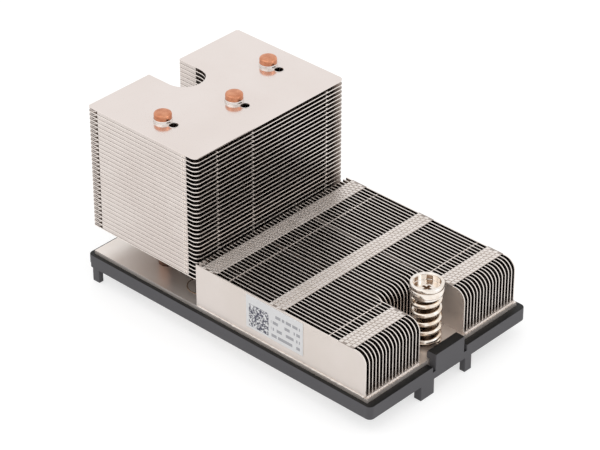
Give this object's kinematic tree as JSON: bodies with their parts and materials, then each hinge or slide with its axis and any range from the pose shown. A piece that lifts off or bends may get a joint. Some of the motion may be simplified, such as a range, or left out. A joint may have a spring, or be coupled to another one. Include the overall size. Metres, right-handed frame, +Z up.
{
  "type": "passive processor heatsink",
  "caption": "Passive server processor heatsink: upright low fins, a tall fin tower on heat pipes, a plated base in a black plastic frame and two spring-loaded captive screws.",
  "frame": {"origin": "centre of the contact pad's underside, midway between the two screws", "axes": "+X from the tower to the low fin stack, +Y across, +Z up from the board"},
  "size_m": [0.1237, 0.074, 0.0676],
  "materials": {
    "plated_fins": "satin nickel-plated",
    "plated_base": "satin nickel-plated",
    "pipe_copper": "bright copper",
    "label_paper": "matt",
    "frame_plastic": "fine-grained black",
    "spring_wire": "bright nickel-plated",
    "screw_nickel": "bright nickel-plated"
  },
  "bodies": {
    "heatsink": {"base_plate": "plated_base", "heat_pipe_1": "pipe_copper", "heat_pipe_2": "pipe_copper", "heat_pipe_3": "pipe_copper", "tower_fin_01": "plated_fins", "tower_fin_02": "plated_fins", "tower_fin_03": "plated_fins", "tower_fin_04": "plated_fins", "tower_fin_05": "plated_fins", "tower_fin_06": "plated_fins", "tower_fin_07": "plated_fins", "tower_fin_08": "plated_fins", "tower_fin_09": "plated_fins", "tower_fin_10": "plated_fins", "tower_fin_11": "plated_fins", "tower_fin_12": "plated_fins", "tower_fin_13": "plated_fins", "tower_fin_14": "plated_fins", "tower_fin_15": "plated_fins", "tower_fin_16": "plated_fins", "tower_fin_17": "plated_fins", "tower_fin_18": "plated_fins", "tower_fin_19": "plated_fins", "tower_fin_20": "plated_fins", "tower_fin_21": "plated_fins", "tower_fin_22": "plated_fins", "tower_fin_23": "plated_fins", "tower_fin_24": "plated_fins", "tower_fin_25": "plated_fins", "tower_fin_26": "plated_fins", "tower_fin_27": "plated_fins", "tower_fin_28": "plated_fins", "tower_fin_29": "plated_fins", "tower_fin_30": "plated_fins", "low_fin_stack": "plated_fins", "label": "label_paper", "retention_frame": "frame_plastic", "front_spring": "spring_wire", "rear_spring": "spring_wire"},
    "front_washer_slide": {"front_washer": "screw_nickel"},
    "rear_washer_slide": {"rear_washer": "screw_nickel"},
    "front_screw_turn": {"front_screw": "screw_nickel", "front_clip": "screw_nickel"},
    "rear_screw_turn": {"rear_screw": "screw_nickel", "rear_clip": "screw_nickel"}
  },
  "joints": [
    {"name": "front_screw_press", "type": "slide", "parent": "heatsink", "child": "front_washer_slide", "axis": [0, 0, 1], "range_m": [-0.004, 0], "stiffness_N_per_m": 8000, "deforming": ["front_spring"]},
    {"name": "front_screw_spin", "type": "hinge", "parent": "front_washer_slide", "child": "front_screw_turn", "pos_m": [0.05207, 0, 0.0282], "axis": [0, 0, 1], "continuous": true},
    {"name": "rear_screw_press", "type": "slide", "parent": "heatsink", "child": "rear_washer_slide", "axis": [0, 0, 1], "range_m": [-0.004, 0], "stiffness_N_per_m": 8000, "deforming": ["rear_spring"]},
    {"name": "rear_screw_spin", "type": "hinge", "parent": "rear_washer_slide", "child": "rear_screw_turn", "pos_m": [-0.05207, 0, 0.0282], "axis": [0, 0, 1], "continuous": true}
  ]
}
